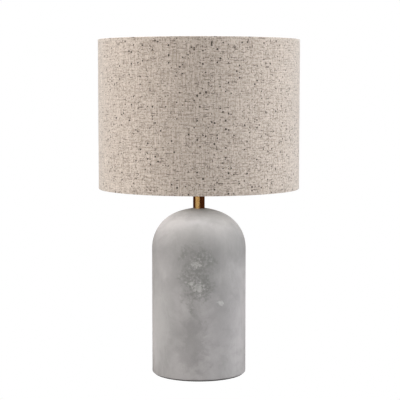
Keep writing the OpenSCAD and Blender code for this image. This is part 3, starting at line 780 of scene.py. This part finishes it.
def rolled_shell():
    """Sheet-brass screw shell whose wall follows the bulb's thread at a clearance, with a foot flange."""
    clear, wall = 0.35 * MM, 0.5 * MM
    low_z, high_z = low("screw_shell")[2], high("screw_shell")[2]
    foot = radius("screw_shell")
    heights = np.linspace(low_z + 1.2 * MM, high_z - 0.6 * MM, 150)
    mean = THREAD_R + clear
    outer = np.stack([np.full(150, mean + wall), heights], 1)
    inner = np.stack([np.full(150, mean), heights[::-1]], 1)
    outline = path((mean + wall, low_z + wall), outer, (mean + wall, high_z), (mean, high_z), inner,
                   (mean - 0.8 * MM, low_z), (foot, low_z), (foot, low_z + wall))

    def thread(t, r, z):
        on = (np.abs(r - mean) < wall + 0.1 * MM) * fade(z, low_z + 0.9 * MM, high_z + 2 * MM, 1.0 * MM)
        return r + on * (screw_thread(t, z) - THREAD_R), z

    piece("rolled_screw_shell", "lamp_base", RAW_BRASS, [revolve(outline, 120, thread)], sharp=50,
                  replaces=("screw_shell",))


def shade_ring(name, body, node, collar_up):
    """Ring with twenty scallops: across each, r falls by sqrt(a^2 - x^2) - c where that is positive."""
    low_z, high_z, r = low(node)[2], high(node)[2], radius(node)
    collar_h = 1.6 * MM
    bore = SKIRT_R + 0.3 * MM
    collar = bore + 1.8 * MM
    if collar_up:
        flat, tip, step = low_z, high_z, high_z - collar_h
    else:
        flat, tip, step = high_z, low_z, low_z + collar_h
    corners = [(bore, flat), (r, flat), (r, step), (collar, step), (collar, tip), (bore, tip)]
    pitch, cutter, cutter_in = TURN / 20, 1.4 * MM, 0.77 * MM

    def scallop(t, rr, z):
        x = (np.mod(t + pitch / 2, pitch) - pitch / 2) * r
        dip = np.sqrt(np.maximum(cutter ** 2 - x ** 2, 0)) - cutter_in
        return rr - np.maximum(dip, 0) * (rr > r - 0.8 * MM), z

    piece(name, body, BRASS, [revolve(rounded(corners, 0.4 * MM), 480, scallop)],
                  replaces=(node,))


def ribbed_knob():
    """Turn knob whose flutes fade before the collar and the domed end.

    Across the flutes r = R - d ((1 + cos(12 t)) / 2) ^ 1.5, with a depth of d.
    """
    start = low("switch_knob")[0]
    length = high("switch_knob")[0] - start
    r = radius_y("switch_knob")
    z = (high("switch_knob")[2] + low("switch_knob")[2]) / 2
    bore, depth, dome_h = 2.03 * MM, length / 2, 2.4 * MM
    flute_count, flute = 12, 0.45 * MM
    dome = arc((0, 0), 1, 0, 90, 9) * (r - 0.2 * MM, dome_h) + (0, length - dome_h)
    outline = path((bore, 0), (r - 0.7 * MM, 0), (r - 0.2 * MM, 0.3 * MM), (r, 0.9 * MM), (r, 1.9 * MM),
                   np.stack([np.full(10, r), np.linspace(2.2 * MM, length - 2.8 * MM, 10)], 1), dome,
                   (0.0, depth), (bore, depth))

    def flutes(t, rr, h):
        on = fade(h, 1.9 * MM, length - 1.6 * MM, 0.7 * MM) * (rr > 0.6 * r)
        return rr - on * flute * (0.5 + 0.5 * np.cos(flute_count * t)) ** 1.5, h

    grid = turned(revolve(outline, 192, flutes), "Y", TURN / 4) + np.array([start, 0, z])
    piece("turn_knob", "knob", BAKELITE, [grid], replaces=("switch_knob",))


# ---------------------------------------------------------------- bulb

GLASS_Z = low("bulb_glass")[2]
GLASS_WALL = 0.8 * MM
NECK_R = 12.3 * MM
SIDE_R = 60 * MM
TIP_R = 5 * MM
SIDE_X = radius("bulb_glass") - SIDE_R
TIP_Z = high("bulb_glass")[2] - TIP_R
SIDE_RISE = math.sqrt((SIDE_R - TIP_R) ** 2 - SIDE_X ** 2)
SIDE_Z = TIP_Z - SIDE_RISE


def bulb_side(z, inset):
    """Radius of the glass at a height: a smooth maximum of the neck and the long side arc.

    The smooth maximum of a and b is (a + b + sqrt((a - b)^2 + e^2)) / 2, with e = 1.2 mm.
    """
    neck = NECK_R - inset
    bow = SIDE_X + np.sqrt(np.maximum((SIDE_R - inset) ** 2 - (z - SIDE_Z) ** 2, 0))
    return 0.5 * (neck + bow + np.sqrt((neck - bow) ** 2 + (1.2 * MM) ** 2))


def glass_wall(inset):
    """Half section (r, z) of one face of the glass: neck, long side arc and small tip arc."""
    lean = math.degrees(math.atan2(SIDE_RISE, -SIDE_X))
    join = TIP_Z + (TIP_R - inset) * SIDE_RISE / (SIDE_R - TIP_R)
    z = np.linspace(GLASS_Z, SIDE_Z, 24, endpoint=False)
    low_part = np.stack([bulb_side(z, inset), z], 1)
    side = arc((SIDE_X, SIDE_Z), SIDE_R - inset, 0, lean, 28)
    side = side[side[:, 1] < join]
    return path(low_part, side, arc((0, TIP_Z), TIP_R - inset, lean, 90, 12))


def bulb_shell():
    """Clear candle glass, threaded cap, black foot and the contact below it."""
    outer, inner = glass_wall(0.0), glass_wall(GLASS_WALL)
    piece("bulb_envelope", "bulb", GLASS, [revolve(path(outer, inner[::-1]), 112)],
                  replaces=("bulb_glass",))

    low_z = low("bulb_cap")[2]
    rolled = GLASS_Z - 4 * MM
    crest = THREAD_R + THREAD_WAVE
    heights = np.linspace(low_z + 0.8 * MM, rolled - 0.3 * MM, 130)
    wall = np.stack([np.full(130, THREAD_R), heights], 1)
    outline = path((0.0, low_z), (11.6 * MM, low_z), (12.0 * MM, low_z + 0.2 * MM), wall,
                   (crest - 0.2 * MM, rolled), (crest, rolled + 0.4 * MM), (crest, GLASS_Z - 0.5 * MM),
                   (crest - 0.15 * MM, GLASS_Z), (12.45 * MM, GLASS_Z), (11.6 * MM, GLASS_Z - 0.2 * MM),
                   (11.4 * MM, GLASS_Z - 1 * MM), (11.3 * MM, low_z + 0.6 * MM), (0.0, low_z + 0.6 * MM))

    def thread(t, r, z):
        wall_only = np.abs(r - THREAD_R) < 0.01 * MM
        start, run_in = low_z + 0.4 * MM, 1.2 * MM
        on = wall_only * fade(z, start, rolled + 0.2 * MM, run_in)
        taper = wall_only * (1 - ease((z - start) / run_in))
        return r + on * (screw_thread(t, z) - THREAD_R) - taper * 0.55 * MM, z

    piece("bulb_screw_cap", "bulb", NICKEL, [revolve(outline, 120, thread)],
                  closed_outline=False, sharp=50, replaces=("bulb_cap",))

    foot_low = low("bulb_insulator")[2]
    foot_edge = (6.6 * MM, foot_low + 0.3 * MM)
    cone = rounded([foot_edge, (10.6 * MM, low_z - 0.5 * MM), (11.3 * MM, low_z)], 0.6 * MM, closed=False)
    outline = path((0.0, foot_low), (6.0 * MM, foot_low), foot_edge, cone[1:], (0.0, low_z))
    piece("bulb_black_foot", "bulb", BLACK_GLASS, [revolve(outline, 96)], closed_outline=False,
                  replaces=("bulb_insulator",))
    tip_low, tip_high = low("bulb_tip")[2], high("bulb_tip")[2]
    outline = path((0.0, tip_low), (2.2 * MM, tip_low + 0.12 * MM), (3.1 * MM, tip_low + 0.5 * MM),
                   (4.2 * MM, tip_high - 0.35 * MM), (4.6 * MM, tip_high - 0.05 * MM), (0.0, tip_high))
    piece("bulb_contact", "bulb_foot", NICKEL, [revolve(outline, 64)], closed_outline=False,
                  replaces=("bulb_tip",))


def bulb_inside():
    """Glass stem with its flare, leads and four lit strips."""
    stem_top = GLASS_Z + 22 * MM
    flare = np.linspace(0, 1, 18)
    flare_r = 2.3 * MM + 8.6 * MM * (1 - flare) ** 3.2
    flare_z = GLASS_Z + 1 * MM + flare * 20 * MM
    strip_low, strip_high = low("bulb_filaments")[2], high("bulb_filaments")[2]
    rod_top = high("bulb_stem")[2] - 0.2 * MM
    rod_r, flange_r = 0.95 * MM, 11.3 * MM
    outline = path((0.0, GLASS_Z + 0.1 * MM), (flange_r, GLASS_Z + 0.1 * MM),
                   (flange_r, GLASS_Z + 0.7 * MM), np.stack([flare_r, flare_z], 1),
                   (2.1 * MM, stem_top - 0.4 * MM), (1.2 * MM, stem_top), (rod_r, stem_top + 1 * MM),
                   (rod_r, rod_top - 0.6 * MM), (0.6 * MM, rod_top - 0.1 * MM), (0.0, rod_top))
    stem = piece("bulb_glass_stem", "bulb", GLASS, [revolve(outline, 48)], closed_outline=False,
                 replaces=("bulb_stem",))

    leads, strips = [], []
    out, lit_r, lead_r = 7 * MM, 0.9 * MM, 0.28 * MM
    end = np.array([0.35, 0.8, 1.0]) * lit_r
    t = np.linspace(0, 1, 10)
    for k in range(4):
        angle = TURN * (k + 0.5) / 4
        spine = np.stack([np.full(20, out), np.zeros(20), np.linspace(strip_low, strip_high, 20)], 1)
        size = np.concatenate([end, np.full(14, lit_r), end[::-1]])
        strips.append(turned(along(spine, size, 16), "Z", angle))
        for z_in, z_out in ((strip_low - 2.6 * MM, strip_low + 0.3 * MM),
                            (strip_high - 4.4 * MM, strip_high - 0.3 * MM)):
            wire = np.stack([t * (out - 0.3 * MM), 0 * t, z_in + (z_out - z_in) * t ** 1.6], 1)
            leads.append(turned(along(wire, lead_r, 10), "Z", angle))
    piece("bulb_leads", "bulb", NICKEL, leads, closed_outline=False)
    piece("bulb_light_strips", "bulb", PHOSPHOR, strips, closed_outline=False,
                  replaces=("bulb_filaments",))


linen_cover()
shade_frame()
threaded_skirt()
rolled_shell()
shade_ring("seat_ring_brass", "lower_ring", "seat_ring", False)
shade_ring("clamp_ring_brass", "upper_ring", "clamp_ring", True)
ribbed_knob()
bulb_shell()
bulb_inside()

# CAD pieces whose shape is right take a better material
KEPT = {
    "base_body": STONE, "base_felt": FELT, "bottom_plate": ZINC, "pipe_washer": ZINC,
    "pipe_lock_washer": ZINC, "pipe_nut": RAW_BRASS, "threaded_pipe": RAW_BRASS, "neck_tube": BRASS,
    "cord_bush": NYLON, "lampholder_cap": BRASS, "cap_grub_screw": ZINC, "lampholder_liner": PORCELAIN,
    "lampholder_core": PORCELAIN, "center_contact": RAW_BRASS, "terminal_screws": ZINC,
    "switch_bush": BRASS, "switch_shaft": ZINC, "switch_rotor": BAKELITE,
    "shade_bottom_wire": WHITE_COAT, "shade_top_wire": WHITE_COAT,
}
for node, material in KEPT.items():
    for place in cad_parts[node].material_slots:
        place.material = material


# ---------------------------------------------------------------- camera, light and floor

def area_light(name, at, aim, size, power, colour=(1, 1, 1)):
    """Rectangular softbox that faces a point."""
    lamp = bpy.data.lights.new(name, "AREA")
    lamp.shape = "RECTANGLE"
    lamp.size, lamp.size_y = size
    lamp.energy = power
    lamp.color = colour
    obj = bpy.data.objects.new(name, lamp)
    bpy.context.scene.collection.objects.link(obj)
    obj.location = at
    toward = np.asarray(aim, float) - np.asarray(at, float)
    obj.rotation_euler = Vector(toward).to_track_quat("-Z", "Y").to_euler()
    return obj


camera_data = bpy.data.cameras.new("camera")
camera_data.lens = CAMERA_LENS
camera_data.sensor_width = CAMERA_SENSOR
camera_data.shift_x = CAMERA_SHIFT
camera_data.clip_start = 0.02
camera = bpy.data.objects.new("camera", camera_data)
bpy.context.scene.collection.objects.link(camera)
camera.location = CAMERA_AT
camera.rotation_euler = (TURN / 4 - CAMERA_DOWN, 0, 0)
bpy.context.scene.camera = camera

side_lights = [
    area_light("left_softbox", (-1.75, -0.30, 0.38), (0, 0, 0.23), (0.8, 1.4), 31, (1.0, 0.985, 0.965)),
    area_light("right_softbox", (1.75, -0.34, 0.60), (0, 0, 0.30), (0.8, 1.4), 33, (0.93, 0.965, 1.0)),
]
for lamp in side_lights:
    lamp.visible_glossy = False  # so that the neck mirrors the card and not these two
area_light("front_softbox", (0.0, -2.5, 1.3), (0, 0, 0.25), (1.2, 0.8), 6)
area_light("front_left_card", (-1.15, -2.0, 0.40), (0, 0, 0.26), (5.2, 1.0), 18.0, (1.0, 0.99, 0.97))
area_light("top_softbox", (0.0, 0.0, 1.9), (0, 0, 0.3), (0.8, 0.8), 34)

# The floor is white to the camera and clear from beneath. It bounces light as a grey, and metal
# mirrors it as a dim brown, which keeps the neck's sides dark.
floor_mesh = bpy.data.meshes.new("floor")
floor_corners = [(x * FLOOR_HALF, y * FLOOR_HALF, 0) for x, y in ((-1, -1), (1, -1), (1, 1), (-1, 1))]
floor_mesh.from_pydata(floor_corners, [], [(0, 1, 2, 3)])
floor = bpy.data.objects.new("floor", floor_mesh)
bpy.context.scene.collection.objects.link(floor)
floor_material, floor_tree, floor_shader, _ = shader("floor", Base_Color=(0.36, 0.36, 0.36, 1),
                                                     Roughness=0.9, Specular_IOR_Level=0.1)
glow = placed(floor_tree, "ShaderNodeEmission", {"Color": (1, 1, 1, 1), "Strength": 1.0})
dusk = placed(floor_tree, "ShaderNodeEmission", {"Color": (1, 0.42, 0.28, 1), "Strength": 0.09})
floor_rays = floor_tree.nodes.new("ShaderNodeLightPath").outputs
unseen = placed(floor_tree, "ShaderNodeMixShader",
                {0: floor_rays["Is Glossy Ray"], 1: floor_shader.outputs[0], 2: dusk.outputs[0]})
above = placed(floor_tree, "ShaderNodeMixShader",
               {0: floor_rays["Is Camera Ray"], 1: unseen.outputs[0], 2: glow.outputs[0]})
under = floor_tree.nodes.new("ShaderNodeNewGeometry").outputs["Backfacing"]
clear = floor_tree.nodes.new("ShaderNodeBsdfTransparent")
whole = placed(floor_tree, "ShaderNodeMixShader", {0: under, 1: above.outputs[0], 2: clear.outputs[0]})
floor_tree.links.new(whole.outputs[0], floor_tree.nodes["Material Output"].inputs["Surface"])
floor_mesh.materials.append(floor_material)

# The world is white to the camera, fills the lamp dimly, and is almost dark in mirrored light
world = bpy.data.worlds.new("studio")
bpy.context.scene.world = world
world.use_nodes = True
sky = world.node_tree
dim = sky.nodes["Background"]
dim.inputs["Color"].default_value = (1, 1, 1, 1)
dim.inputs["Strength"].default_value = 0.40
bright = placed(sky, "ShaderNodeBackground", {"Color": (1, 1, 1, 1), "Strength": 1.0})
rays = sky.nodes.new("ShaderNodeLightPath").outputs
dark = placed(sky, "ShaderNodeBackground", {"Color": (1, 0.4, 0.25, 1), "Strength": 0.035})
unseen = placed(sky, "ShaderNodeMixShader",
                {0: rays["Is Glossy Ray"], 1: dim.outputs[0], 2: dark.outputs[0]})
seen_sky = placed(sky, "ShaderNodeMixShader",
                  {0: rays["Is Camera Ray"], 1: unseen.outputs[0], 2: bright.outputs[0]})
sky.links.new(seen_sky.outputs[0], sky.nodes["World Output"].inputs["Surface"])
bpy.context.scene.view_settings.view_transform = "Standard"
